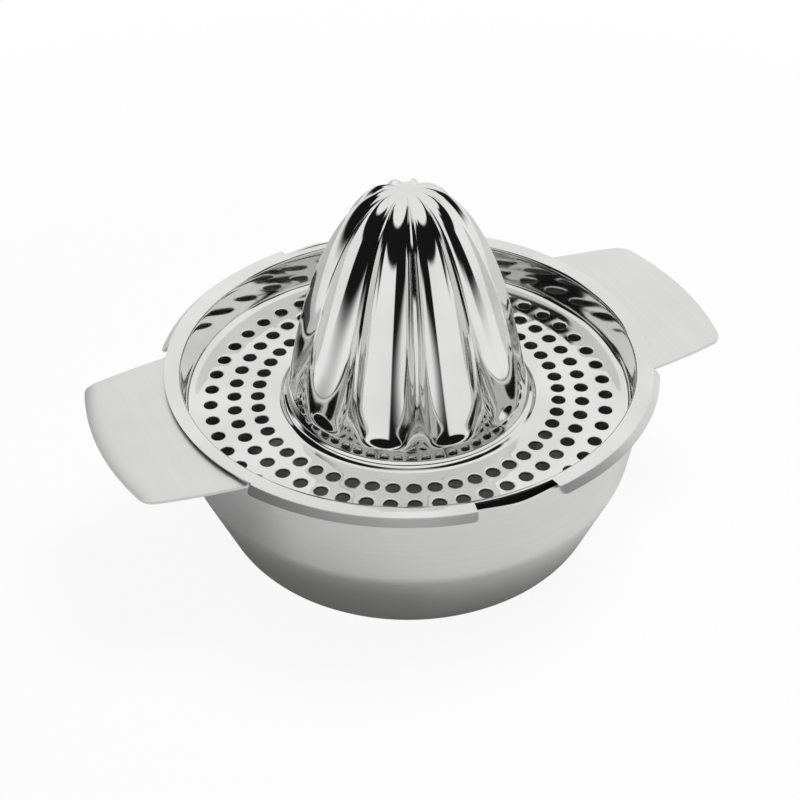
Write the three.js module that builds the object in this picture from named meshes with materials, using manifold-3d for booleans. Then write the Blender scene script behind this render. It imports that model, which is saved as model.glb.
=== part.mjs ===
// Hand citrus juicer in pressed stainless steel: a juice bowl with two wing handles and two
// pouring lips, and a lift-out strainer pan that carries a reamer cone with eleven flutes.
// Millimetres, +Z up. The origin is on the table under the bowl's axis, the handles lie along X
// and the pouring lips face -Y and +Y.
import * as THREE from 'three';
import { mergeVertices } from 'three/addons/utils/BufferGeometryUtils.js';
import Module from 'manifold-3d';

const wasm = await Module();
wasm.setup();

// Bowl
const bowlSheet = 0.8;
const rimRadius = 64.6;
const rimHeight = 50.4;
const wallHeight = 24.5;
const wallFlare = 4;
const shoulderRound = 16;
const baseInset = 10.8;
const baseRound = 10;

// Pouring lips, one fold at each side of the rim
const lipReach = 1.3;
const lipHalfWidth = 6.5;
const lipDepth = 11.5;

// Wing handles
const handleLength = 21.4;
const handleTipHalfWidth = 26;
const handleRootAngle = 28.2;
const handleSideBulge = 0.8;
const handleCorner = 5;
const handleEdgeRound = 2.6;
const handleLipDepth = 3;

// Strainer pan
const seatGap = 0.3;
const panSheet = 0.8;
const panDepth = 11.5;
const panClearance = 4.1;
const panTaper = 1.1;
const panFloorRound = 2.2;
const panMouthRound = 2.8;
const flangeOverhang = 0.4;
const tabBendRound = 2;
const tabBendAngle = 45;
const tabReach = 3;
const tabHandleAngle = 1.1;
const tabCorner = 1.2;
const slotHalfAngle = 9.8;
const slotShelf = 0.2;
const stepMargin = 0.1;
const stepHeight = 1.2;
const stepRound = 1.1;
const stepWidth = 4;

// Strainer holes
const holeDiameter = 3.7;
const holesPerRow = 48;
const outerRowInset = 4.3;
const rowSpacing = 6.35;
const rowTurnShares = [0.5, 0, 0];

// Reamer cone
const coneSheet = 0.8;
const coneRadius = 32.8;
const coneHeight = 63.3;
const coneTurnAngle = 13;
const fluteCount = 11;
const bandHeight = 5;
const fluteEndAngle = 52;
const fluteEndRound = 1.5;
const footWidth = 0.7;
const footRound = 0.6;

// Shapes of curves, as shares and powers
const fluteFootShare = 0.98;
const fluteTipShare = 0.76;
const fluteArcShare = 0.87;
const fluteFadePowerShare = 2.5;
const fluteWidthShare = 0.93;
const ridgeFlankPowerShare = 1.23;
const ridgeCrownPowerShare = 0.4;

// Facets
const bowlSides = 48;
const panSides = 48;
const sidesPerFlute = 5;
const holeSides = 6;
const bendSteps = 3;
const outerConeSteps = 11;
const innerConeSteps = 10;
const overrun = 6;

const radians = THREE.MathUtils.degToRad;

// Radii and heights that follow from the sizes above
const shoulderRadius = rimRadius - wallFlare;
const baseRadius = shoulderRadius - baseInset;
const handleReach = rimRadius + handleLength;
const panMouthRadius = rimRadius - bowlSheet - panClearance - panSheet;
const panFloorRadius = panMouthRadius - panTaper;
const tabTipRadius = rimRadius + tabReach;
const footRadius = coneRadius + footWidth;
const stepRadius = footRadius + stepMargin;
const panOpeningRadius = stepRadius - stepWidth;
const flangeTop = rimHeight + seatGap + panSheet;
const floorTop = flangeTop - panDepth;
const seamHeight = floorTop + stepHeight + seatGap;

// Solids and geometries

function solidFrom(geometry) {
  const bare = geometry.clone();
  bare.deleteAttribute('normal');
  bare.deleteAttribute('uv');
  const merged = mergeVertices(bare);
  const index = merged.getIndex().array;
  const triangles = [];
  for (let i = 0; i < index.length; i += 3) {
    const [a, b, c] = [index[i], index[i + 1], index[i + 2]];
    if (a !== b && b !== c && c !== a) triangles.push(a, b, c);
  }
  const build = (triVerts) => new wasm.Manifold(new wasm.Mesh({
    numProp: 3,
    vertProperties: new Float32Array(merged.attributes.position.array),
    triVerts: new Uint32Array(triVerts),
  }));
  const solid = build(triangles);
  if (solid.volume() > 0) return solid;
  return build(triangles.reverse());
}

function geometryFrom(solid) {
  const mesh = solid.getMesh();
  const geometry = new THREE.BufferGeometry();
  geometry.setAttribute('position', new THREE.BufferAttribute(new Float32Array(mesh.vertProperties), 3));
  geometry.setIndex(new THREE.BufferAttribute(new Uint32Array(mesh.triVerts), 1));
  geometry.computeVertexNormals();
  return geometry;
}

function revolved(outline, sides) {
  return new THREE.LatheGeometry(outline, sides).rotateX(Math.PI / 2);
}

function extrudedUp(shape, bottom, top) {
  const geometry = new THREE.ExtrudeGeometry(shape, {
    depth: top - bottom,
    bevelEnabled: false,
    curveSegments: bendSteps,
  });
  return geometry.translate(0, 0, bottom);
}

// Sheet profiles: a path is a list of corners in the (radius, height) plane, each with its bend's radius

function corner(radius, height, round = 0) {
  return { at: new THREE.Vector2(radius, height), round };
}

function turnAt(path, i) {
  const before = path[i].at.clone().sub(path[i - 1].at);
  const after = path[i + 1].at.clone().sub(path[i].at);
  return Math.atan2(before.cross(after), before.dot(after));
}

// The same path moved sideways, to its right when offset is positive
function offsetPath(path, offset) {
  const side = (a, b) => b.clone().sub(a).normalize().rotateAround(new THREE.Vector2(), -Math.PI / 2);
  return path.map((point, i) => {
    const before = i > 0 ? side(path[i - 1].at, point.at) : side(point.at, path[i + 1].at);
    const after = i < path.length - 1 ? side(point.at, path[i + 1].at) : before;
    const middle = before.clone().add(after).normalize();
    const at = point.at.clone().addScaledVector(middle, offset / middle.dot(after));
    const turnsRight = i > 0 && i < path.length - 1 && turnAt(path, i) < 0;
    const round = point.round > 0 ? point.round + (turnsRight ? -offset : offset) : 0;
    return { at, round };
  });
}

// Points along a path, with each bend drawn as an arc
function bentPoints(path) {
  const points = [];
  path.forEach((point, i) => {
    if (point.round <= 0) {
      points.push(point.at.clone());
      return;
    }
    const turn = turnAt(path, i);
    const reach = point.round * Math.tan(Math.abs(turn) / 2);
    const along = point.at.clone().sub(path[i - 1].at).normalize();
    const start = point.at.clone().addScaledVector(along, -reach);
    const inward = along.clone().rotateAround(new THREE.Vector2(), Math.sign(turn) * Math.PI / 2);
    const centre = start.clone().addScaledVector(inward, point.round);
    for (let step = 0; step <= bendSteps; step += 1) {
      points.push(start.clone().rotateAround(centre, turn * step / bendSteps));
    }
  });
  return points;
}

// Bowl

function bowlPath() {
  return [
    corner(0, 0),
    corner(baseRadius, 0, baseRound),
    corner(shoulderRadius, rimHeight - wallHeight, shoulderRound),
    corner(rimRadius - lipLean() * lipDepth, rimHeight - lipDepth),
    corner(rimRadius - lipLean() * lipDepth / 2, rimHeight - lipDepth / 2),
    corner(rimRadius, rimHeight),
  ];
}

function lipLean() {
  return wallFlare / wallHeight;
}

// Level cut at the rim, so that both faces of the sheet end at the same height
function levelRim(points) {
  const last = points[points.length - 1];
  last.x -= lipLean() * (last.y - rimHeight);
  last.y = rimHeight;
  return points;
}

// Each lip is a fold that stands out most at the middle of the rim and dies away down the wall
function pressLips(geometry) {
  const position = geometry.attributes.position;
  for (let i = 0; i < position.count; i += 1) {
    const x = position.getX(i);
    const y = position.getY(i);
    const depth = rimHeight - position.getZ(i);
    const across = Math.max(0, 1 - Math.abs(x) / lipHalfWidth);
    const down = Math.max(0, 1 - depth / lipDepth);
    position.setY(i, y + Math.sign(y) * lipReach * across * down);
  }
  return geometry;
}

function bowlShell() {
  const outside = levelRim(bentPoints(bowlPath()));
  const inside = levelRim(bentPoints(offsetPath(bowlPath(), -bowlSheet)));
  inside[0].x = 0;
  return solidFrom(pressLips(revolved([...outside, ...inside.reverse()], bowlSides)));
}

// Everything inside the middle of the bowl's sheet, also above the rim
function bowlCore() {
  const middle = levelRim(bentPoints(offsetPath(bowlPath(), -bowlSheet / 2)));
  middle[0].x = 0;
  const top = rimHeight + overrun;
  const rim = middle[middle.length - 1];
  const outline = [...middle, new THREE.Vector2(rim.x, top), new THREE.Vector2(0, top)];
  return solidFrom(revolved(outline, bowlSides));
}

// Plan of one wing along +X, drawn in on all sides by the round of its edge
function handlePlan() {
  const angle = radians(handleRootAngle);
  const root = new THREE.Vector2(rimRadius * Math.cos(angle), rimRadius * Math.sin(angle));
  root.y -= handleEdgeRound;
  const reach = handleReach - handleEdgeRound;
  const halfWidth = handleTipHalfWidth - handleEdgeRound;
  const tip = new THREE.Vector2(Math.sqrt(reach ** 2 - halfWidth ** 2), halfWidth);
  const side = tip.clone().sub(root);
  const start = root.clone().addScaledVector(side, -overrun / side.length());
  const bulge = side.clone().normalize().rotateAround(new THREE.Vector2(), Math.PI / 2);
  const middle = root.clone().lerp(tip, 0.5).addScaledVector(bulge, handleSideBulge);
  const cornerCut = handleCorner - handleEdgeRound;
  const sideEnd = tip.clone().addScaledVector(tip.clone().sub(middle).normalize(), -cornerCut);
  const tipAngle = Math.asin(halfWidth / reach) - cornerCut / reach;

  const plan = new THREE.Shape();
  plan.moveTo(start.x, -start.y);
  plan.lineTo(root.x, -root.y);
  plan.quadraticCurveTo(middle.x, -middle.y, sideEnd.x, -sideEnd.y);
  plan.quadraticCurveTo(tip.x, -tip.y, reach * Math.cos(tipAngle), -reach * Math.sin(tipAngle));
  plan.absarc(0, 0, reach, -tipAngle, tipAngle, false);
  plan.quadraticCurveTo(tip.x, tip.y, sideEnd.x, sideEnd.y);
  plan.quadraticCurveTo(middle.x, middle.y, root.x, root.y);
  plan.lineTo(start.x, start.y);
  return plan;
}

// A block over the wing's plan whose top edge is rounded by edgeRound, down to the depth given
function handleBlock(top, edgeRound, depth) {
  const block = new THREE.ExtrudeGeometry(handlePlan(), {
    depth: depth + overrun,
    bevelThickness: edgeRound,
    bevelSize: edgeRound,
    bevelSegments: bendSteps,
    curveSegments: 2 * bendSteps,
  });
  return solidFrom(block.translate(0, 0, top - edgeRound - depth - overrun));
}

// The wing is the rim's sheet carried outward, with its edge turned down
function handle(turn) {
  const outer = handleBlock(rimHeight, handleEdgeRound, handleLipDepth);
  const inner = handleBlock(rimHeight - bowlSheet, handleEdgeRound - bowlSheet, handleLipDepth + overrun);
  const belowLip = new THREE.BoxGeometry(4 * handleReach, 4 * handleReach, 2 * handleReach);
  belowLip.translate(0, 0, rimHeight - handleLipDepth - handleReach);
  const wing = outer.subtract(inner).subtract(solidFrom(belowLip)).subtract(bowlCore());
  return wing.rotate([0, 0, turn]);
}

function bowl() {
  return bowlShell().add(handle(0)).add(handle(180));
}

// Strainer pan

// Upper face of the pan, from the opening under the cone out to the tips of its tabs
function panPath() {
  const bend = radians(tabBendAngle);
  const bendRadius = rimRadius + tabBendRound * Math.tan(bend / 2);
  const drop = (tabTipRadius - bendRadius) * Math.tan(bend);
  return [
    corner(panOpeningRadius, floorTop + stepHeight),
    corner(stepRadius, floorTop + stepHeight),
    corner(stepRadius, floorTop, stepRound),
    corner(panFloorRadius, floorTop, panFloorRound),
    corner(panMouthRadius, flangeTop, panMouthRound),
    corner(bendRadius, flangeTop, tabBendRound),
    corner(tabTipRadius, flangeTop - drop),
  ];
}

function panSheetRing() {
  const path = panPath();
  const under = offsetPath(path, panSheet);
  const outline = [...bentPoints(path), ...bentPoints(under).reverse(), path[0].at.clone()];
  return solidFrom(revolved(outline, panSides));
}

// Plan of what is trimmed off the flange between two tabs: all that lies outside innerRadius
function trimPlan(innerRadius, middleAngle, halfAngle) {
  const outer = tabTipRadius + overrun;
  const cornerTurn = tabCorner / tabTipRadius;
  const cornerRadius = tabTipRadius - tabCorner;
  const [from, to] = [middleAngle - halfAngle, middleAngle + halfAngle];
  const at = (radius, angle) => new THREE.Vector2(radius * Math.cos(angle), radius * Math.sin(angle));
  const plan = new THREE.Shape();
  plan.absarc(0, 0, innerRadius, from, to, false);
  const rounded = (angle, outward) => {
    const side = at(cornerRadius, angle);
    const tip = at(tabTipRadius, angle);
    const end = at(tabTipRadius, angle + outward * cornerTurn);
    const last = at(outer, angle + outward * cornerTurn);
    return [side, tip, end, last];
  };
  const [sideA, tipA, endA, lastA] = rounded(to, 1);
  plan.lineTo(sideA.x, sideA.y);
  plan.quadraticCurveTo(tipA.x, tipA.y, endA.x, endA.y);
  plan.lineTo(lastA.x, lastA.y);
  plan.absarc(0, 0, outer, to + cornerTurn, from - cornerTurn, true);
  const [sideB, tipB, endB] = rounded(from, -1);
  plan.lineTo(endB.x, endB.y);
  plan.quadraticCurveTo(tipB.x, tipB.y, sideB.x, sideB.y);
  plan.closePath();
  return plan;
}

// Between the tabs the flange is cut back: over each handle to a narrow rest on the rim, and over each
// pouring lip to the wall, which leaves the slot that the juice runs out through
function flangeTrims() {
  const cut = (plan) => solidFrom(extrudedUp(plan, floorTop, flangeTop + overrun));
  const restEdge = rimRadius + flangeOverhang;
  const restHalfAngle = radians(handleRootAngle + tabHandleAngle);
  const slotEdge = panMouthRadius + panMouthRound + slotShelf;
  const cuts = [];
  for (const middle of [0, Math.PI]) {
    cuts.push(cut(trimPlan(restEdge, middle, restHalfAngle)));
    cuts.push(cut(trimPlan(slotEdge, middle + Math.PI / 2, radians(slotHalfAngle))));
  }
  return cuts;
}

function strainerHoles() {
  const holes = [];
  rowTurnShares.forEach((turnShare, row) => {
    const rowRadius = panFloorRadius - outerRowInset - row * rowSpacing;
    for (let i = 0; i < holesPerRow; i += 1) {
      const angle = (i + turnShare) * 2 * Math.PI / holesPerRow;
      const pin = new THREE.CylinderGeometry(holeDiameter / 2, holeDiameter / 2, 2 * overrun, holeSides);
      pin.rotateX(Math.PI / 2).translate(rowRadius, 0, floorTop).rotateZ(angle);
      holes.push(solidFrom(pin));
    }
  });
  return holes;
}

function strainerPan() {
  return wasm.Manifold.difference([panSheetRing(), ...flangeTrims(), ...strainerHoles()]);
}

// Reamer cone

// Radius of the ridges between the flutes at a height above the pan's floor
function ridgeRadius(height, radius = coneRadius, tipHeight = coneHeight) {
  const fall = Math.max(0, 1 - (height / tipHeight) ** ridgeFlankPowerShare);
  return radius * fall ** ridgeCrownPowerShare;
}

// The flutes' depth, as the share of the ridges' radius that is left in their middle
function fluteShare(height) {
  const fade = (1 - height / coneHeight) ** fluteFadePowerShare;
  return THREE.MathUtils.lerp(fluteTipShare, fluteFootShare, fade);
}

// Radius of a flute's middle line at a height: at its lower end it bends out to meet the band
function fluteRadius(height, inset) {
  const slope = radians(fluteEndAngle);
  const pressed = ridgeRadius(height) * fluteShare(height) - inset;
  const band = ridgeRadius(bandHeight) - inset / Math.cos(slope);
  const sloping = band - (height - bandHeight) * Math.tan(slope);
  return (pressed + sloping + Math.hypot(pressed - sloping, fluteEndRound)) / 2;
}

// Radius of the flute's hollow face at an angle from its middle: one arc, as wide as the ridges leave room
function fluteFace(angle, height, inset) {
  const share = Math.min(fluteShare(height), fluteArcShare);
  const halfWidth = fluteWidthShare * Math.PI / fluteCount;
  const arcCentre = (1 - share ** 2) / (2 * (Math.cos(halfWidth) - share));
  const arc = (arcCentre - share) * ridgeRadius(height) + inset;
  const centre = fluteRadius(height, inset) + arc;
  const reach = Math.max(0, arc ** 2 - (centre * Math.sin(angle)) ** 2);
  return centre * Math.cos(angle) - Math.sqrt(reach);
}

// Rings of the cone above its band, closer together at the flutes' lower ends and at the tip
function conePoints(inset, steps) {
  const tipHeight = coneHeight - inset;
  const points = [];
  for (let step = 0; step < steps; step += 1) {
    const share = 0.5 - 0.5 * Math.cos(Math.PI * step / steps);
    const height = bandHeight + (tipHeight - bandHeight) * share;
    points.push(new THREE.Vector2(ridgeRadius(height, coneRadius - inset, tipHeight), floorTop + height));
  }
  points.push(new THREE.Vector2(0, floorTop + tipHeight));
  return points;
}

// The cone's foot, from the band under the flutes out to the flange that stands on the pan's step
function footPoints(inset) {
  const band = ridgeRadius(bandHeight, coneRadius - inset, coneHeight - inset);
  const top = seamHeight + coneSheet - inset;
  return bentPoints([
    corner(footRadius, top),
    corner(band, top, footRound + inset),
    corner(band, floorTop + bandHeight),
  ]).slice(0, -1);
}

// Above the band the flutes are pressed in between the ridges
function pressFlutes(geometry, outline, outsideCount) {
  const position = geometry.attributes.position;
  const pitch = 2 * Math.PI / fluteCount;
  for (let i = 0; i < position.count; i += 1) {
    const inset = i % outline.length < outsideCount ? 0 : coneSheet;
    const height = position.getZ(i) - floorTop;
    if (height <= bandHeight || height >= coneHeight - inset) continue;
    const [x, y] = [position.getX(i), position.getY(i)];
    const ridge = Math.hypot(x, y);
    const turned = Math.atan2(y, x) + Math.PI / 2;
    const fromMiddle = (((turned % pitch) + pitch) % pitch) - pitch / 2;
    const pressed = Math.min(ridge, fluteFace(fromMiddle, height, inset));
    position.setXY(i, x * pressed / ridge, y * pressed / ridge);
  }
  return geometry;
}

function reamerCone() {
  const seam = new THREE.Vector2(footRadius, seamHeight);
  const outside = [seam, ...footPoints(0), ...conePoints(0, outerConeSteps)];
  const inside = [...footPoints(coneSheet).slice(1), ...conePoints(coneSheet, innerConeSteps)];
  const outline = [...outside, ...inside.reverse(), seam.clone()];
  const cone = pressFlutes(revolved(outline, fluteCount * sidesPerFlute), outline, outside.length);
  return solidFrom(cone.rotateZ(radians(coneTurnAngle)));
}

// Assembly

const brushedSteel = { color: 0xb9b9b8, roughness: 0.38, metalness: 1 };
const polishedSteel = { color: 0xd4d4d3, roughness: 0.08, metalness: 1 };

function piece(name, solid, finish) {
  const mesh = new THREE.Mesh(geometryFrom(solid), new THREE.MeshStandardMaterial(finish));
  mesh.name = name;
  return mesh;
}

const juicer = new THREE.Group();
const insert = new THREE.Group();
juicer.add(piece('bowl', bowl(), brushedSteel));
insert.add(piece('strainer_pan', strainerPan(), polishedSteel));
insert.add(piece('reamer_cone', reamerCone(), polishedSteel));
juicer.add(insert);

export default juicer;
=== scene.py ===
# Hand citrus juicer in pressed stainless steel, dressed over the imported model, in metres.
import math

import bmesh
import bpy
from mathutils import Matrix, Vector


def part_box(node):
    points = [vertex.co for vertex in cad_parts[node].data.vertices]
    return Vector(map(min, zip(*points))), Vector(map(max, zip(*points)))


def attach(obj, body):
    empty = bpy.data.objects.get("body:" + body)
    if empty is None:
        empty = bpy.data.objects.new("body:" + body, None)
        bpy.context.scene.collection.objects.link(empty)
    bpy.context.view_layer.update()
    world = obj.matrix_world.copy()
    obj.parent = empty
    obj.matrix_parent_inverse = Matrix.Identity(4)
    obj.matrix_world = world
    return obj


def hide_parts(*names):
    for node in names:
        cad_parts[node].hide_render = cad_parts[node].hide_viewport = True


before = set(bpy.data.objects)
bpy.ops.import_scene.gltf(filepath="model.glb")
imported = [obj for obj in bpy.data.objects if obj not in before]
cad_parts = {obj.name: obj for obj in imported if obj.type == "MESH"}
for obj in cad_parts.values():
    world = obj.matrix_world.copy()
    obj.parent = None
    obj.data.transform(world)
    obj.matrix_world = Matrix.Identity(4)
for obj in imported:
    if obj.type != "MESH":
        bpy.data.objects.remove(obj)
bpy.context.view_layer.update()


# Juice bowl with its wing handles
# Deep-drawn from one disc of stainless sheet, with a flat base and a soft shoulder low on the wall. The rim
# is folded out at two sides for the pouring lips and left wide at the other two for the wings.

mm = 0.001
bowl_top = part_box("bowl")[1]
rim_height = bowl_top.z
bowl_sheet = 0.8 * mm
rim_radius = 64.6 * mm
lip_reach = 0.8 * mm
lip_half_width = 6.5 * mm
lip_depth = 11.5 * mm
lip_softness = 2.4 * mm
lip_fold_blend = 0.06
wall_height = 24.5 * mm
wall_flare = 4 * mm
shoulder_round = 16 * mm
base_inset = 10.8 * mm
base_round = 10 * mm
bowl_row_spacing = 1.5 * mm
bowl_columns = 480
edge_break = 0.12 * mm
edge_break_steps = 2
edge_break_angle = math.radians(50)
merge_distance = 0.001 * mm


def mitre(corners, i):
    """Left-hand normal at a corner of a path, long enough to keep an offset path parallel."""
    sides = []
    for a, b in ((i - 1, i), (i, i + 1)):
        if a >= 0 and b < len(corners):
            along = (Vector(corners[b][:2]) - Vector(corners[a][:2])).normalized()
            sides.append(Vector((-along.y, along.x)))
    if len(sides) == 1:
        return sides[0]
    return (sides[0] + sides[1]) / (1 + sides[0].dot(sides[1]))


def turn_at(corners, i):
    """How far the path turns to its left at a corner."""
    before = Vector(corners[i][:2]) - Vector(corners[i - 1][:2])
    after = Vector(corners[i + 1][:2]) - Vector(corners[i][:2])
    return math.atan2(before.x * after.y - before.y * after.x, before.dot(after))


def offset(corners, distance):
    """The same path of (radius, height, bend) corners, moved to its left."""
    moved = []
    for i, (radius, height, bend) in enumerate(corners):
        at = Vector((radius, height)) + mitre(corners, i) * distance
        if bend > 0:
            bend += -distance if turn_at(corners, i) > 0 else distance
        moved.append((at.x, at.y, bend))
    return moved


def bent(corners, steps=8):
    """Points along a path of (radius, height, bend) corners, with each bend drawn as an arc."""
    points = []
    for i, (radius, height, bend) in enumerate(corners):
        at = Vector((radius, height))
        if bend <= 0:
            points.append(at)
            continue
        turn = turn_at(corners, i)
        along = (at - Vector(corners[i - 1][:2])).normalized()
        start = at - along * bend * math.tan(abs(turn) / 2)
        inward = Vector((-along.y, along.x)) * math.copysign(1, turn)
        centre = start + inward * bend
        for step in range(steps + 1):
            angle = turn * step / steps
            spoke = start - centre
            turned = Vector((spoke.x * math.cos(angle) - spoke.y * math.sin(angle),
                             spoke.x * math.sin(angle) + spoke.y * math.cos(angle)))
            points.append(centre + turned)
    return points


def sheet_path(corners, thickness, longest):
    """Pairs of points on the two faces of a bent sheet, no further apart along it than longest."""
    pairs = list(zip(bent(corners), bent(offset(corners, thickness))))
    fine = [pairs[0]]
    for (a, b), (c, d) in zip(pairs, pairs[1:]):
        steps = max(1, math.ceil((c - a).length / longest))
        for step in range(1, steps + 1):
            fine.append((a.lerp(c, step / steps), b.lerp(d, step / steps)))
    return fine


class PressedSheet:
    """A sheet-metal mesh: each point of its outer face has a twin inside, and free edges are closed."""

    def __init__(self):
        self.found = {}
        self.outer = []
        self.inner = []
        self.faces = []

    def vertex(self, pair):
        """The number of a pair of points, the same for pairs that are a micrometre apart or less."""
        key = tuple(round(c / merge_distance) for c in pair[0])
        if key not in self.found:
            self.found[key] = len(self.outer)
            self.outer.append(tuple(pair[0]))
            self.inner.append(tuple(pair[1]))
        return self.found[key]

    def face(self, *pairs):
        """One face, left out where its corners fall together."""
        corners = list(dict.fromkeys(self.vertex(pair) for pair in pairs))
        if len(corners) > 2:
            self.faces.append(corners)

    def strip(self, first, second):
        """Faces between two rows of as many pairs."""
        for i in range(len(first) - 1):
            self.face(first[i], first[i + 1], second[i + 1], second[i])

    def free_edges(self):
        """Edges that only one face has, in that face's direction."""
        edges = {}
        for corners in self.faces:
            for a, b in zip(corners, corners[1:] + corners[:1]):
                if (b, a) in edges:
                    del edges[b, a]
                else:
                    edges[a, b] = True
        return list(edges)

    def piece(self, name, finish):
        """The object made of both faces of the sheet, with its sharp edges broken."""
        count = len(self.outer)
        inside = [[count + i for i in reversed(corners)] for corners in self.faces]
        closing = [[b, a, count + a, count + b] for a, b in self.free_edges()]
        mesh = bpy.data.meshes.new(name)
        mesh.from_pydata(self.outer + self.inner, [], self.faces + inside + closing)
        shape = bmesh.new()
        shape.from_mesh(mesh)
        bmesh.ops.recalc_face_normals(shape, faces=shape.faces)
        shape.to_mesh(mesh)
        shape.free()
        mesh.shade_smooth()
        mesh.materials.append(finish)
        made = bpy.data.objects.new(name, mesh)
        bpy.context.scene.collection.objects.link(made)
        broken = made.modifiers.new("broken_edges", "BEVEL")
        broken.width = edge_break
        broken.segments = edge_break_steps
        broken.limit_method = "ANGLE"
        broken.angle_limit = edge_break_angle
        broken.harden_normals = True
        return made


def around(radius, height, angle):
    """The point at a radius and height, turned to an angle from +X."""
    return Vector((radius * math.cos(angle), radius * math.sin(angle), height))


def soft_max(a, b, softness):
    """The larger of two values, with a rounded corner where they cross."""
    return (a + b + math.hypot(a - b, softness)) / 2


def on_bowl(point, angle):
    """A point of the bowl's profile turned to an angle, folded out at the pouring lips."""
    place = around(point.x, point.y, angle)
    off_ridge = math.hypot(place.x, lip_softness) - lip_softness
    fold = 1 - off_ridge / lip_half_width - (rim_height - place.z) / lip_depth
    place.y += math.copysign(lip_reach * soft_max(fold, 0, lip_fold_blend), place.y)
    return place


bowl_corners = [
    (0, 0, 0),
    (rim_radius - wall_flare - base_inset, 0, base_round),
    (rim_radius - wall_flare, rim_height - wall_height, shoulder_round),
    (rim_radius, rim_height, 0),
]
bowl_rows = sheet_path(bowl_corners, bowl_sheet, bowl_row_spacing)
rim_outer, rim_inner = bowl_rows[-1]
bowl_rows[-1] = (rim_outer, Vector((rim_inner.x, rim_height)))

bowl_sheet_mesh = PressedSheet()
bowl_angles = [2 * math.pi * i / bowl_columns for i in range(bowl_columns + 1)]
bowl_rings = [[(on_bowl(outer, angle), on_bowl(inner, angle)) for angle in bowl_angles]
              for outer, inner in bowl_rows]
for low, high in zip(bowl_rings, bowl_rings[1:]):
    bowl_sheet_mesh.strip(low, high)

# Each wing is level with the rim, and its edge bends down a little, so that it is stiff and soft to hold.
handle_reach = bowl_top.x
handle_tip_half_width = 26 * mm
handle_root_angle = math.radians(28.2)
handle_side_bulge = 0.8 * mm
handle_corner = 3 * mm
handle_edge_width = 4.2 * mm
handle_edge_bend = 13 * mm
handle_root_overlap = 0.7 * mm
handle_root_radius = rim_radius - handle_root_overlap
handle_side_steps = 24
handle_corner_steps = 12
handle_tip_steps = 24
handle_section_steps = 24
handle_edge_crowding = 1.6


def bezier(a, b, c, steps):
    """Points along a curve from a to c that is drawn towards b."""
    return [a.lerp(b, i / steps).lerp(b.lerp(c, i / steps), i / steps) for i in range(steps + 1)]


def handle_outline():
    """Plan of one wing's edge along +X, from one root on the rim round to the other."""
    root = around(handle_root_radius, 0, handle_root_angle).xy
    corner = Vector((math.sqrt(handle_reach ** 2 - handle_tip_half_width ** 2), handle_tip_half_width))
    side = corner - root
    bulge = Vector((-side.y, side.x)).normalized() * handle_side_bulge
    middle = root.lerp(corner, 0.5) + bulge
    side_end = corner - (corner - middle).normalized() * handle_corner
    tip_angle = math.asin(handle_tip_half_width / handle_reach) - handle_corner / handle_reach
    tip_start = around(handle_reach, 0, tip_angle).xy
    half = bezier(root, middle, side_end, handle_side_steps)[:-1]
    half += bezier(side_end, corner, tip_start, handle_corner_steps)[:-1]
    for i in range(handle_tip_steps):
        half.append(around(handle_reach, 0, tip_angle * (1 - i / handle_tip_steps)).xy)
    mirrored = [Vector((point.x, -point.y)) for point in reversed(half)]
    return half + [Vector((handle_reach, 0))] + mirrored


def edge_drop(at, outline):
    """How far the wing's face lies below the rim: it bends down near the edge."""
    distances = []
    for a, b in zip(outline, outline[1:]):
        side = b - a
        share = max(0, min(1, (at - a).dot(side) / side.length_squared))
        distances.append((at - a.lerp(b, share)).length)
    run = max(0, handle_edge_width - min(distances))
    return handle_edge_bend - math.sqrt(handle_edge_bend ** 2 - run ** 2)


def handle_section(edge, rim_angle, outline):
    """Pairs of points across the wing from the rim to a point of its edge, closer together there."""
    rim = around(handle_root_radius, 0, rim_angle).xy
    pairs = []
    for i in range(handle_section_steps + 1):
        at = edge.lerp(rim, (1 - i / handle_section_steps) ** handle_edge_crowding)
        height = rim_height - edge_drop(at, outline)
        pairs.append((Vector((*at, height)), Vector((*at, height - bowl_sheet))))
    return pairs


def turned_half_round(section):
    """The same section on the wing across the bowl."""
    return [tuple(Vector((-point.x, -point.y, point.z)) for point in pair) for pair in section]


outline = handle_outline()
sections = []
for i, edge in enumerate(outline):
    share = i / (len(outline) - 1)
    sections.append(handle_section(edge, handle_root_angle * (1 - 2 * share), outline))
for near, far in zip(sections, sections[1:]):
    bowl_sheet_mesh.strip(near, far)
    bowl_sheet_mesh.strip(turned_half_round(near), turned_half_round(far))


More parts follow.
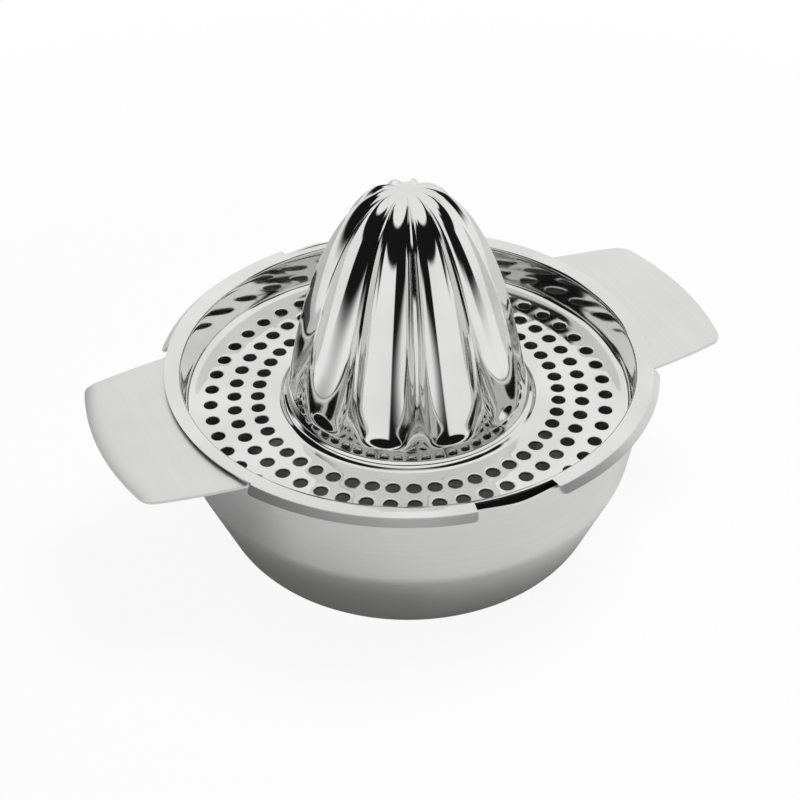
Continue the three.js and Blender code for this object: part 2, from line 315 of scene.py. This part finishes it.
class Signal:
    """A socket in a material: arithmetic on it adds Math nodes, and node() adds any other node."""

    def __init__(self, tree, socket=None):
        self.tree = tree
        self.socket = socket

    def node(self, kind, settings=None, sockets=None, output=0):
        node = self.tree.nodes.new("ShaderNode" + kind)
        for name, value in (settings or {}).items():
            setattr(node, name, value)
        for name, value in (sockets or {}).items():
            if isinstance(value, Signal):
                self.tree.links.new(value.socket, node.inputs[name])
            else:
                node.inputs[name].default_value = value
        return Signal(self.tree, node.outputs[output] if node.outputs else None)

    def math(self, operation, first, second):
        """A Math node on two values, of which one at least is a socket."""
        return self.node("Math", {"operation": operation}, {0: first, 1: second})

    def __add__(self, other):
        return self.math("ADD", self, other)

    __radd__ = __add__

    def __sub__(self, other):
        return self.math("SUBTRACT", self, other)

    def __rsub__(self, other):
        return self.math("SUBTRACT", other, self)

    def __mul__(self, other):
        return self.math("MULTIPLY", self, other)

    __rmul__ = __mul__

    def between(self, low, high):
        """0 below low and 1 above high, with a smooth step between."""
        return self.node("MapRange", {"interpolation_type": "SMOOTHSTEP"},
                         {"Value": self, "From Min": low, "From Max": high})

    def part(self, letter):
        """One part, X, Y or Z, of a vector."""
        return self.node("SeparateXYZ", None, {"Vector": self}, output=letter)

    def spread(self):
        """Noise, which keeps near its middle, spread over 0 to 1."""
        return self.between(0.3, 0.7)

    def length(self):
        return self.node("VectorMath", {"operation": "LENGTH"}, {0: self}, output="Value")

    def dot(self, other):
        return self.node("VectorMath", {"operation": "DOT_PRODUCT"}, {0: self, 1: other}, output="Value")

    def times(self, x, y, z):
        """A vector with each part scaled."""
        return self.node("VectorMath", {"operation": "MULTIPLY"}, {0: self, 1: (x, y, z)})

    def noise(self, scale, detail):
        sockets = {"Vector": self, "Scale": scale, "Detail": detail}
        return self.node("TexNoise", None, sockets, output="Fac")

    def blend(self, first, second):
        """A colour from first to second as this value goes from 0 to 1."""
        return self.node("Mix", {"data_type": "RGBA"}, {"Factor": self, 6: first, 7: second}, output=2)

    def bump(self, strength, height):
        return self.node("Bump", None, {"Height": self, "Strength": strength, "Distance": height})


def new_material(name):
    """An empty material, and the signal that its first nodes are made from."""
    material = bpy.data.materials.new(name)
    material.use_nodes = True
    material.node_tree.nodes.clear()
    return material, Signal(material.node_tree)


def steel(blank, sockets):
    """A metal surface from the values or links of the shader's sockets."""
    shader = blank.node("BsdfPrincipled", None, {"Metallic": 1.0, **sockets})
    blank.node("OutputMaterial", None, {"Surface": shader})


# Satin finish: hairlines from a fine belt run level round the wall and along the wings, over faint clouds.
# Shade is painted into the colour: the wall is painted darker low down at the shoulder, for the shade it
# reflects from the table there, and the inside is painted darker, for the shade in the bowl under the pan.
satin_light = (0.76, 0.76, 0.755, 1)
satin_dark = (0.7, 0.7, 0.695, 1)
# Painted shade for the low wall at the shoulder.
shoulder_shade_grey = (0.58, 0.58, 0.575, 1)
# Painted shade for the inside of the bowl, under the pan.
inside_shade_grey = (0.5, 0.5, 0.495, 1)
satin_roughness = 0.34
hairline_roughness = 0.08
cloud_roughness = 0.06
cloud_share = 0.6
wing_facing = (0.75, 0.95)
wall_lines_per_m = (6, 6, 2600)
wing_lines_per_m = (1800, 14, 30)
clouds_per_m = 26
satin_detail = 3
hairline_bump = 0.06
grain_depth = 0.05 * mm
shoulder_shade_low = 14 * mm
shoulder_shade_high = 30 * mm
inside_fade = 0.6 * mm
inside_top_low = rim_height - 1.5 * mm
inside_top_high = rim_height - 0.7 * mm

satin_steel, blank = new_material("satin_steel")
place = blank.node("TexCoord", output="Object")
normal = blank.node("NewGeometry", output="Normal")
wall_lines = place.times(*wall_lines_per_m).noise(1, satin_detail)
wing_lines = place.times(*wing_lines_per_m).noise(1, satin_detail)
facing_up = normal.part("Z").between(*wing_facing)
hairlines = wing_lines * facing_up + wall_lines * (1 - facing_up)
clouds = place.noise(clouds_per_m, satin_detail)
cloudy_lines = clouds * cloud_share + hairlines * (1 - cloud_share)
brushed = cloudy_lines.spread().blend(satin_dark, satin_light)
# Painted shade: the wall is painted darker below the shoulder, where it reflects the shaded table near the
# foot.
shoulder_shade = 1 - place.part("Z").between(shoulder_shade_low, shoulder_shade_high)
below_rim = 1 - place.part("Z").between(inside_top_low, inside_top_high)
facing_in = 1 - normal.dot(place.times(1, 1, 0)).between(-inside_fade, 0)
outside_colour_with_shade = shoulder_shade.blend(brushed, shoulder_shade_grey)
steel(blank, {
    # Painted shade: the inside of the bowl, below the rim, is painted a darker grey.
    "Base Color": (facing_in * below_rim).blend(outside_colour_with_shade, inside_shade_grey),
    "Roughness": hairlines * hairline_roughness + clouds * cloud_roughness + satin_roughness,
    "Normal": hairlines.bump(hairline_bump, grain_depth),
})

bowl = bowl_sheet_mesh.piece("bowl_with_wings", satin_steel)
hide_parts("bowl")
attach(bowl, "bowl")


# Strainer pan
# A shallow pan pressed from stainless sheet that rests on the rim by its flange. Three rows of holes are
# punched through its floor, a low step in the middle carries the cone, and four tabs are turned down.

pan_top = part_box("strainer_pan")[1].z
pan_sheet = 0.8 * mm
pan_depth = 11.5 * mm
pan_clearance = 2.2 * mm
pan_taper = 0.75 * mm
floor_round = 2.2 * mm
mouth_round = 1.4 * mm
step_radius = 33.6 * mm
step_height = 1.2 * mm
step_flare = 1.2 * mm
step_round = 1.3 * mm
step_width = 4 * mm
tab_bend_round = 1.4 * mm
tab_bend_angle = math.radians(42)
tab_overhang = 2.6 * mm
tab_tip_radius = rim_radius + tab_overhang
pan_row_spacing = 0.9 * mm

floor_top = pan_top - pan_depth
mouth_radius = rim_radius - bowl_sheet - pan_clearance - pan_sheet
floor_radius = mouth_radius - pan_taper
tab_bend_radius = rim_radius + tab_bend_round * math.tan(tab_bend_angle / 2)
tab_drop = (tab_tip_radius - tab_bend_radius) * math.tan(tab_bend_angle)
pan_corners = [
    (step_radius - step_width, floor_top + step_height, 0),
    (step_radius, floor_top + step_height, 0),
    (step_radius + step_flare, floor_top, step_round),
    (floor_radius, floor_top, floor_round),
    (mouth_radius, pan_top, mouth_round),
    (tab_bend_radius, pan_top, tab_bend_round),
    (tab_tip_radius, pan_top - tab_drop, 0),
]
pan_profile = sheet_path(pan_corners, -pan_sheet, pan_row_spacing)

# The punched lip is given by its widths past the hole and its depths below the floor.
hole_radius = 1.85 * mm
punched_lip = [(0.4 * mm, 0), (0.2 * mm, 0.03 * mm), (0.07 * mm, 0.1 * mm), (0, 0.22 * mm)]
holes_per_row = 48
hole_rows = 3
outer_row_inset = 6.55 * mm
outer_cell_margin = 2.25 * mm
row_spacing = 6.35 * mm
outer_row_radius = floor_radius - outer_row_inset
columns_per_hole = 8
pan_columns = holes_per_row * columns_per_hole
cell_steps = 6


def pan_point(radius, angle):
    """The pair of points of the pan's sheet at a radius, turned to an angle."""
    for (a, b), (c, d) in zip(pan_profile, pan_profile[1:]):
        if a.x < c.x and radius <= c.x:
            break
    share = (radius - a.x) / (c.x - a.x)
    return tuple(around(p.x, p.y, angle) for p in (a.lerp(c, share), b.lerp(d, share)))


def floor_pair(x, y, drop=0):
    """The pair of points of the pan's floor at a place, sunk at the top by a drop."""
    return Vector((x, y, floor_top - drop)), Vector((x, y, floor_top - pan_sheet))


def floor_profile_pair(radius):
    return Vector((radius, floor_top)), Vector((radius, floor_top - pan_sheet))


def column_angle(column):
    return 2 * math.pi * column / pan_columns


def punched_cell(sheet, low, high, hole_row, middle):
    """One patch of the floor between two radii, with a hole in its middle column at a third."""
    half = columns_per_hole // 2
    columns = [middle - half + i for i in range(columns_per_hole + 1)]
    radii = [low + (high - low) * i / cell_steps for i in range(cell_steps + 1)]
    edge = [(low, column) for column in columns[:-1]]
    edge += [(radius, columns[-1]) for radius in radii[:-1]]
    edge += [(high, column) for column in reversed(columns[1:])]
    edge += [(radius, columns[0]) for radius in reversed(radii)]
    border = [around(radius, 0, column_angle(column)).xy for radius, column in edge]
    centre = around(hole_row, 0, column_angle(middle)).xy
    rings = [[floor_pair(*at) for at in border]]
    for width, drop in punched_lip:
        lip = [centre + (at - centre).normalized() * (hole_radius + width) for at in border]
        rings.append([floor_pair(*at, drop) for at in lip])
    for outer, inner in zip(rings, rings[1:]):
        sheet.strip(outer, inner)


# The holes of the outer row stand half a hole round from those of the other two.
pan_mesh = PressedSheet()
row_radii = [outer_row_radius - (hole_rows - 1 - row) * row_spacing for row in range(hole_rows)]
cell_radii = [radius - row_spacing / 2 for radius in row_radii] + [outer_row_radius + outer_cell_margin]
for radius, low, high in zip(row_radii, cell_radii, cell_radii[1:]):
    shift = columns_per_hole // 2 if radius == outer_row_radius else 0
    for hole in range(holes_per_row):
        punched_cell(pan_mesh, low, high, radius, hole * columns_per_hole + shift)

# The flange is trimmed between its four tabs: over the wings to a narrow rest on the rim, and over the
# lips to the wall, which leaves the slots that the juice runs out through.
rest_overhang = 0.4 * mm
slot_shelf = 0.2 * mm
rest_radius = rim_radius + rest_overhang
slot_radius = mouth_radius + mouth_round + slot_shelf
wing_to_tab_angle = math.radians(1.1)
slot_half_angle = math.radians(9.8)
tab_start = handle_root_angle + wing_to_tab_angle
tab_end = math.pi / 2 - slot_half_angle
tab_corner = 1.2 * mm
corner_shares = [0, 0.05, 0.2, 0.5, 1]
rest_steps = 3
tab_steps = 10
row_margin = 0.1 * mm


def quarter_columns():
    """Angles and tab corner roundings of the flange's columns, from +X to +Y."""
    corner_turn = tab_corner / tab_tip_radius
    quarter = pan_columns // 4
    plain_first = round(tab_start / column_angle(1))
    plain_last = quarter - round(tab_end / column_angle(1))
    steps = len(corner_shares) - 1
    angles = [tab_start * i / plain_first for i in range(plain_first)]
    angles += [tab_start + corner_turn * share for share in corner_shares]
    inner = quarter - plain_first - plain_last - 2 * steps
    span = tab_end - tab_start - 2 * corner_turn
    angles += [tab_start + corner_turn + span * i / inner for i in range(1, inner)]
    angles += [tab_end - corner_turn * share for share in reversed(corner_shares)]
    angles += [tab_end + (math.pi / 2 - tab_end) * i / plain_last for i in range(1, plain_last + 1)]
    return angles


def all_columns():
    """The flange's columns all the way round, with each quarter the mirror image of the next."""
    quarter = quarter_columns()
    half = quarter + [math.pi - angle for angle in reversed(quarter[:-1])]
    return half + [angle + math.pi for angle in half[1:]]


def in_first_quarter(angle):
    """The angle of the same place in the quarter from +X to +Y."""
    return abs((angle + math.pi / 2) % math.pi - math.pi / 2)


def tab_reach(angle):
    """How far the tab reaches at an angle: its two tip corners are rounded."""
    place_in_tab = in_first_quarter(angle)
    side = min(place_in_tab - tab_start, tab_end - place_in_tab) * tab_tip_radius
    missing = max(0, tab_corner - side)
    return tab_tip_radius - tab_corner + math.sqrt(max(0, tab_corner ** 2 - missing ** 2))


even_angles = [column_angle(column) for column in range(pan_columns + 1)]
flange_angles = all_columns()


def plain_row(pair, share):
    """A full row of the pan, with its columns on their way from even to the flange's own."""
    angles = [a + (b - a) * share for a, b in zip(even_angles, flange_angles)]
    return [tuple(around(p.x, p.y, angle) for p in pair) for angle in angles]


inside_rows = [pair for pair in pan_profile if pair[0].x < cell_radii[0] - row_margin]
inside_rows.append(floor_profile_pair(cell_radii[0]))
rows = [plain_row(pair, 0) for pair in inside_rows]
for near, far in zip(rows, rows[1:]):
    pan_mesh.strip(near, far)

wall_rows = [floor_profile_pair(cell_radii[-1])]
for pair in pan_profile:
    if cell_radii[-1] + row_margin < pair[0].x < slot_radius - row_margin:
        wall_rows.append(pair)
rows = [plain_row(pair, i / len(wall_rows)) for i, pair in enumerate(wall_rows)]
rows.append([pan_point(slot_radius, angle) for angle in flange_angles])
for near, far in zip(rows, rows[1:]):
    pan_mesh.strip(near, far)

for column_angles in zip(flange_angles, flange_angles[1:]):
    middle = in_first_quarter(sum(column_angles) / 2)
    if middle > tab_end:
        continue
    strips = []
    for angle in reversed(column_angles):
        rest_width = rest_radius - slot_radius
        radii = [slot_radius + rest_width * i / rest_steps for i in range(rest_steps + 1)]
        if middle > tab_start:
            tab_width = tab_reach(angle) - rest_radius
            radii += [rest_radius + tab_width * i / tab_steps for i in range(1, tab_steps + 1)]
        strips.append([pan_point(radius, angle) for radius in radii])
    pan_mesh.strip(*strips)

# Polished finish: a mirror with the ghost of circular polishing marks. The tabs, which the polishing wheel
# doesn't reach, keep the brushed sheet's lines.
polished_light = (0.78, 0.78, 0.775, 1)
polished_dark = (0.7, 0.7, 0.695, 1)
pan_roughness = 0.05
tab_extra_roughness = 0.36
mark_roughness = 0.04
mark_relief = 0.05
tab_extra_relief = 0.8
wave_relief = 0.15
polish_marks_per_m = 2400
tab_lines_per_m = (700, 900, 2200)
pan_waves_per_m = 45
polish_detail = 2
pan_bump = 0.1
tab_finish_low = rim_radius + 0.3 * mm
tab_finish_high = rim_radius + 1.2 * mm

pan_steel, blank = new_material("pan_steel")
place = blank.node("TexCoord", output="Object")
from_axis = place.times(1, 1, 0).length()
polish_marks = blank.node("TexNoise", {"noise_dimensions": "1D"},
                          {"W": from_axis * polish_marks_per_m, "Scale": 1.0, "Detail": polish_detail})
on_tab = from_axis.between(tab_finish_low, tab_finish_high)
tab_lines = place.times(*tab_lines_per_m).noise(1, polish_detail)
waviness = place.noise(pan_waves_per_m, 1)
marks = tab_lines * on_tab + polish_marks * (1 - on_tab)
relief = marks * (on_tab * tab_extra_relief + mark_relief) + waviness * wave_relief
steel(blank, {
    "Base Color": waviness.spread().blend(polished_dark, polished_light),
    "Roughness": on_tab * tab_extra_roughness + marks * mark_roughness + pan_roughness,
    "Normal": relief.bump(pan_bump, grain_depth),
})

pan = pan_mesh.piece("strainer_pan_sheet", pan_steel)
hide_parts("strainer_pan")
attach(pan, "insert")


# Reamer cone
# A hollow dome pressed from stainless sheet, with eleven hollow flutes between narrow rounded ridges. The
# flutes run out above a plain band, and the turned-out foot below it is joined to the pan's step.

cone_low, cone_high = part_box("reamer_cone")
cone_sheet = 0.8 * mm
foot_inset = 0.1 * mm
foot_width = 0.7 * mm
foot_height = 0.5 * mm
foot_radius = step_radius - foot_inset
cone_radius = foot_radius - foot_width
cone_height = cone_high.z - floor_top
cone_turn = math.radians(13)
seam_height = cone_low.z
flute_count = 11
band_height = 5 * mm
band_lean = math.radians(9)
flute_end_angle = math.radians(52)
flute_end_round = 1 * mm
flute_foot_share = 1.01
flute_tip_share = 0.76
flute_arc_share = 0.87
flute_arc_round_share = 0.03
flute_fade_power = 2.5
flute_width_share = 0.93
ridge_softness_share = 0.03
foot_round = 0.6 * mm
flank_power = 1.23
crown_power = 0.4
flute_pitch = 2 * math.pi / flute_count
columns_per_flute = 48
ridge_crowding = 0.5
cone_rows = 150


def soft_min(a, b, softness):
    """The smaller of two values, with a rounded corner where they cross."""
    return (a + b - math.hypot(a - b, softness)) / 2


def ridge_radius(height, radius=cone_radius, tip_height=cone_height):
    """Radius of the ridges between the flutes at a height above the pan's floor."""
    return radius * max(0, 1 - (height / tip_height) ** flank_power) ** crown_power


def flute_share(height):
    """The share of the ridges' radius that is left in the middle of a flute."""
    fade = (1 - height / cone_height) ** flute_fade_power
    return flute_tip_share + (flute_foot_share - flute_tip_share) * fade


def flute_radius(height, inset):
    """Radius of a flute's middle line, which bends out to meet the band at its lower end."""
    pressed = ridge_radius(height) * flute_share(height) - inset
    band = ridge_radius(band_height) - inset / math.cos(flute_end_angle)
    sloping = band - (height - band_height) * math.tan(flute_end_angle)
    return soft_max(pressed, sloping, flute_end_round)


def flute_face(angle, height, inset):
    """Radius of the flute's hollow face at an angle from its middle, one arc wide."""
    share = soft_min(flute_share(height), flute_arc_share, flute_arc_round_share)
    half_width = flute_width_share * flute_pitch / 2
    arc_centre = (1 - share ** 2) / (2 * (math.cos(half_width) - share))
    arc = (arc_centre - share) * ridge_radius(height) + inset
    centre = flute_radius(height, inset) + arc
    reach = max(0, arc ** 2 - (centre * math.sin(angle)) ** 2)
    return centre * math.cos(angle) - math.sqrt(reach)


def cone_point(height, from_middle, inset):
    """Radius and height on the cone above its band, with rounded edges between flutes and ridges."""
    ridge = ridge_radius(height, cone_radius - inset, cone_height - inset)
    face = flute_face(from_middle, height, inset)
    return Vector((soft_min(ridge, face, ridge_softness_share * ridge), floor_top + height))


def flute_angles():
    """Angles from one ridge to the next, closer together at the ridges."""
    angles = []
    for flute in range(flute_count):
        for i in range(columns_per_flute):
            share = i / columns_per_flute
            eased = share - ridge_crowding * math.sin(2 * math.pi * share) / (2 * math.pi)
            angles.append((flute + eased) * flute_pitch)
    return angles + [2 * math.pi]


def band_radius(height):
    """Radius of the plain band at a height over the table: it leans in towards the flutes."""
    return ridge_radius(band_height) + (floor_top + band_height - height) * math.tan(band_lean)


def turned(point, angle):
    """A point of the cone's profile at an angle from the ridge nearest the front lip."""
    return around(point.x, point.y, angle - math.pi / 2 + cone_turn)


# The foot is a low wedge that slopes down from the band to its edge.
cone_angles = flute_angles()
band_top = floor_top + band_height
foot_top = seam_height + foot_height
foot_corners = [
    (foot_radius, seam_height, 0),
    (band_radius(foot_top), foot_top, foot_round),
    (band_radius(band_top), band_top, 0),
]
cone_mesh = PressedSheet()
cone_rings = []
for outer in bent(foot_corners):
    inner = Vector((band_radius(outer.y) - cone_sheet, outer.y))
    cone_rings.append([(turned(outer, angle), turned(inner, angle)) for angle in cone_angles])
for row in range(1, cone_rows + 1):
    share = row / cone_rows
    eased = 0.5 - 0.5 * math.cos(math.pi * share)
    ring = []
    for angle in cone_angles:
        from_middle = angle % flute_pitch - flute_pitch / 2
        pair = []
        for inset in (0, cone_sheet):
            height = band_height + (cone_height - inset - band_height) * eased
            pair.append(turned(cone_point(height, from_middle, inset), angle))
        ring.append(tuple(pair))
    cone_rings.append(ring)
for low, high in zip(cone_rings, cone_rings[1:]):
    cone_mesh.strip(low, high)

# Bright polish: a mirror with the faint waves that the press leaves, and fine cloudy wear.
cone_waves_per_m = 60
wave_bump = 0.06
wave_depth = 0.1 * mm
wear_per_m = 140
wear_roughness = 0.03
cone_roughness = 0.04

cone_steel, blank = new_material("cone_steel")
place = blank.node("TexCoord", output="Object")
waviness = place.noise(cone_waves_per_m, 1)
steel(blank, {
    "Base Color": waviness.spread().blend(polished_dark, polished_light),
    "Roughness": place.noise(wear_per_m, polish_detail) * wear_roughness + cone_roughness,
    "Normal": waviness.bump(wave_bump, wave_depth),
})
cone = cone_mesh.piece("reamer_cone_sheet", cone_steel)
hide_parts("reamer_cone")
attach(cone, "insert")


# Studio
# A white table top that runs out to a white surround, with one softbox above it. A pale light tent with
# dark gaps, seen in reflections only, gives the polished steel its whites and blacks.

white = (1, 1, 1, 1)
table_pale = (0.93, 0.93, 0.93, 1)
table_radius = 3
table_sides = 96
shadow_radius = 0.14
shadow_end_radius = 0.4
shadow_share = 0.08

table_mesh = bpy.data.meshes.new("table_top")
table_edge = [around(table_radius, 0, 2 * math.pi * i / table_sides) for i in range(table_sides)]
table_mesh.from_pydata(table_edge, [], [list(range(table_sides))])
table_top = bpy.data.objects.new("table_top", table_mesh)
bpy.context.scene.collection.objects.link(table_top)

# The camera sees the table as plain white, but for a small share round the juicer that keeps its shadow.
table_white, blank = new_material("table_white")
away = blank.node("TexCoord", output="Object").length().between(shadow_radius, shadow_end_radius)
seen_by_camera = blank.node("LightPath", output="Is Camera Ray")
plain_white = (1 - (1 - away) * shadow_share) * seen_by_camera
diffuse = blank.node("BsdfDiffuse", None, {"Color": table_pale})
bright = blank.node("Emission", None, {"Color": white, "Strength": 1.0})
mixed = blank.node("MixShader", None, {0: plain_white, 1: diffuse, 2: bright})
blank.node("OutputMaterial", None, {"Surface": mixed})
table_top.data.materials.append(table_white)

# The white surround is seen at full strength and lights the juicer at a lower one.
surround_light = 0.22
world = bpy.data.worlds.new("surround")
bpy.context.scene.world = world
world.use_nodes = True
world.node_tree.nodes.clear()
blank = Signal(world.node_tree)
ray_kinds = ("Is Camera Ray", "Is Glossy Ray", "Is Transmission Ray")
seen = [blank.node("LightPath", output=kind) for kind in ray_kinds]
glow = (seen[0] + seen[1] + seen[2]) * (1 - surround_light) + surround_light
shade = blank.node("Background", None, {"Color": white, "Strength": glow})
blank.node("OutputWorld", None, {"Surface": shade})

softbox_size = 0.4
softbox_watts = 5.8
softbox_place = (0.22, -0.05, 0.9)
lamp_data = bpy.data.lights.new("softbox", "AREA")
lamp_data.shape = "SQUARE"
lamp_data.size = softbox_size
lamp_data.energy = softbox_watts
softbox = bpy.data.objects.new("softbox", lamp_data)
bpy.context.scene.collection.objects.link(softbox)
softbox.location = softbox_place
softbox.rotation_euler = (Vector((0, 0, 0)) - softbox.location).to_track_quat("-Z", "Y").to_euler()
softbox.visible_glossy = False

tent_radius = 0.32
tent_height = 50 * mm
bpy.ops.mesh.primitive_uv_sphere_add(segments=64, ring_count=32, radius=tent_radius,
                                     location=(0, 0, tent_height))
tent = bpy.context.object
tent.name = "light_tent"
tent.visible_camera = False
tent.visible_diffuse = False
tent.visible_shadow = False
tent.visible_transmission = False

cloth_glow = 0.98
gap_glow = 0.01
camera_turn = math.radians(24.4)
front = Vector((-math.sin(camera_turn), -math.cos(camera_turn), 0))
right = Vector((math.cos(camera_turn), -math.sin(camera_turn), 0))
tent_cloth, blank = new_material("tent_cloth")
place = blank.node("TexCoord", output="Object")
direction = blank.node("VectorMath", {"operation": "NORMALIZE"}, {0: place})
ahead = direction.dot(front)
aside = direction.dot(right)
bearing = aside.math("ARCTAN2", aside, ahead)


def above(low, high):
    """0 below one height in the tent and 1 above another, both in degrees over the middle."""
    return direction.part("Z").between(math.sin(math.radians(low)), math.sin(math.radians(high)))


def panel(start, end, top, soft):
    """A panel of the tent between two bearings from the front and below a height, in degrees."""
    begun = bearing.between(math.radians(start - soft), math.radians(start + soft))
    ended = bearing.between(math.radians(end - soft), math.radians(end + soft))
    return begun * (1 - ended) * (1 - above(top - soft, top + soft))


high_gap = panel(-112, 70, top=47, soft=3) * above(-4, 4)
low_gap = panel(-140, 92, top=26, soft=3) * above(0, 10)
right_gap = panel(60, 86, top=38, soft=3) * above(0, 10)
front_cloth = panel(-28, 40, top=19, soft=2)
cloth = (1 - high_gap) * (1 - low_gap) * (1 - right_gap)
dark = (1 - cloth) * (1 - front_cloth)
glow = cloth_glow - dark * (cloth_glow - gap_glow)
light = blank.node("Emission", None, {"Color": white, "Strength": glow})
blank.node("OutputMaterial", None, {"Surface": light})
tent.data.materials.append(tent_cloth)


# Camera
# A long lens, a little under half a metre from the pan and looking down at it, with the frame turned by
# a fraction of a degree.

frame_width_px = 800
focal_px = 1745
sensor_width_mm = 36
camera_elevation = math.radians(36.7)
camera_distance = 0.4743
aim_right = -2.2 * mm
aim_up = -2.26 * mm
camera_roll = math.radians(-0.6)

upward = Vector((0, 0, 1))
toward_camera = front * math.cos(camera_elevation) + upward * math.sin(camera_elevation)
frame_up = toward_camera.cross(right)
pan_middle = Vector((0, 0, floor_top))
camera_data = bpy.data.cameras.new("camera")
camera_data.sensor_width = sensor_width_mm
camera_data.lens = focal_px / frame_width_px * sensor_width_mm
camera = bpy.data.objects.new("camera", camera_data)
bpy.context.scene.collection.objects.link(camera)
camera.location = pan_middle + toward_camera * camera_distance
aim = pan_middle + right * aim_right + frame_up * aim_up
sight = (aim - camera.location).to_track_quat("-Z", "Y").to_matrix().to_4x4()
camera.rotation_euler = sight.to_euler()
camera.rotation_euler.rotate_axis("Z", camera_roll)
bpy.context.scene.camera = camera
bpy.context.scene.view_settings.view_transform = "Standard"
